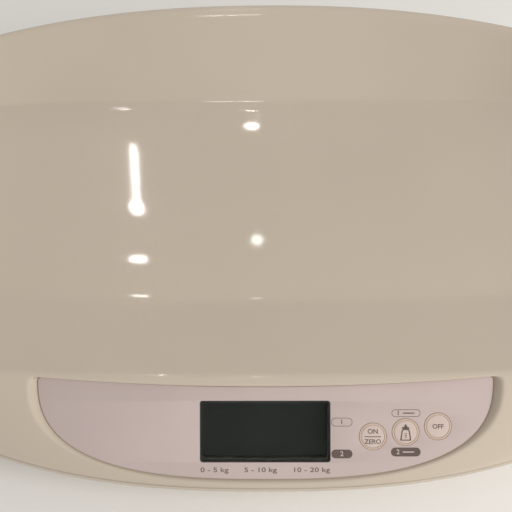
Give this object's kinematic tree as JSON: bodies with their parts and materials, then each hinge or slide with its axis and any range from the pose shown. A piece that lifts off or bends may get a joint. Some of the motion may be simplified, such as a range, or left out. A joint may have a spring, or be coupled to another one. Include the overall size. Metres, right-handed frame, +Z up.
{
  "type": "digital baby weighing scale",
  "caption": "Cradle-shaped baby scale: a shallow one-piece tray with a crescent display-and-key panel in its front slope, on load-cell feet.",
  "frame": {"origin": "on the ground, under the middle of the scale's bounding box", "axes": "+X along the tray's length, +Y from the display side to the high back wall, +Z up"},
  "size_m": [0.551, 0.343, 0.1009],
  "materials": {
    "ivory_gloss": "smooth glossy moulded ABS, warm ivory",
    "ivory_matte": "fine matte moulded ABS, warm ivory",
    "panel_blush": "flat printed sheet, satin, slightly pink",
    "key_blush": "soft satin keycap",
    "lens_clear": "clear acrylic window, slightly smoked",
    "lcd_dark": "unlit liquid-crystal cell with its polarisers, dark grey-green",
    "grey_plastic": "moulded grey plastic",
    "black_plastic": "moulded black plastic",
    "silicone_pink": "conductive silicone strip",
    "board_green": "lacquered glass-epoxy board",
    "steel": "zinc-plated pressed steel",
    "nickel": "nickel-plated spring steel",
    "battery_jacket": "plain printed film jacket with a bare metal button",
    "foot_rubber": "non-slip rubber",
    "lead_grey": "flexible PVC insulation",
    "lead_red": "flexible PVC insulation, one wire red and one black"
  },
  "bodies": {
    "housing": {"tray_shell": "ivory_gloss", "bottom_cover": "ivory_matte", "panel_overlay": "panel_blush", "display_lens": "lens_clear", "lcd_glass": "lcd_dark", "lcd_holder": "grey_plastic", "lcd_connectors": "silicone_pink", "tact_switches": "black_plastic", "circuit_board": "board_green", "board_chips": "black_plastic", "board_screws": "steel", "battery_1": "battery_jacket", "battery_2": "battery_jacket", "battery_3": "battery_jacket", "battery_4": "battery_jacket", "contact_springs": "nickel", "contact_plates": "nickel", "load_frame": "steel", "load_cell_1": "steel", "load_cell_2": "steel", "load_cell_3": "steel", "load_cell_4": "steel", "cell_carrier_1": "grey_plastic", "cell_carrier_2": "grey_plastic", "cell_carrier_3": "grey_plastic", "cell_carrier_4": "grey_plastic", "cell_leads": "lead_grey", "battery_leads": "lead_red", "case_screws": "steel", "frame_screws": "steel", "foot_1": "grey_plastic", "foot_pad_1": "foot_rubber", "foot_2": "grey_plastic", "foot_pad_2": "foot_rubber", "foot_3": "grey_plastic", "foot_pad_3": "foot_rubber", "foot_4": "grey_plastic", "foot_pad_4": "foot_rubber"},
    "key_on_zero": {"key_on_zero": "key_blush", "switch_plunger_1": "black_plastic"},
    "key_feed": {"key_feed": "key_blush", "switch_plunger_2": "black_plastic"},
    "key_off": {"key_off": "key_blush", "switch_plunger_3": "black_plastic"},
    "battery_door": {"battery_door": "ivory_matte"}
  },
  "joints": [
    {"name": "key_on_zero_press", "type": "slide", "parent": "housing", "child": "key_on_zero", "axis": [0, 0.5373, -0.8434], "range_m": [0, 0.0005], "stiffness_N_per_m": 3600},
    {"name": "key_feed_press", "type": "slide", "parent": "housing", "child": "key_feed", "axis": [0, 0.5373, -0.8434], "range_m": [0, 0.0005], "stiffness_N_per_m": 3600},
    {"name": "key_off_press", "type": "slide", "parent": "housing", "child": "key_off", "axis": [0, 0.5373, -0.8434], "range_m": [0, 0.0005], "stiffness_N_per_m": 3600},
    {"name": "battery_door_hinge", "type": "hinge", "parent": "housing", "child": "battery_door", "pos_m": [0, -0.0319, 0.0098], "axis": [-1, 0, 0], "range_deg": [0, 100]}
  ]
}
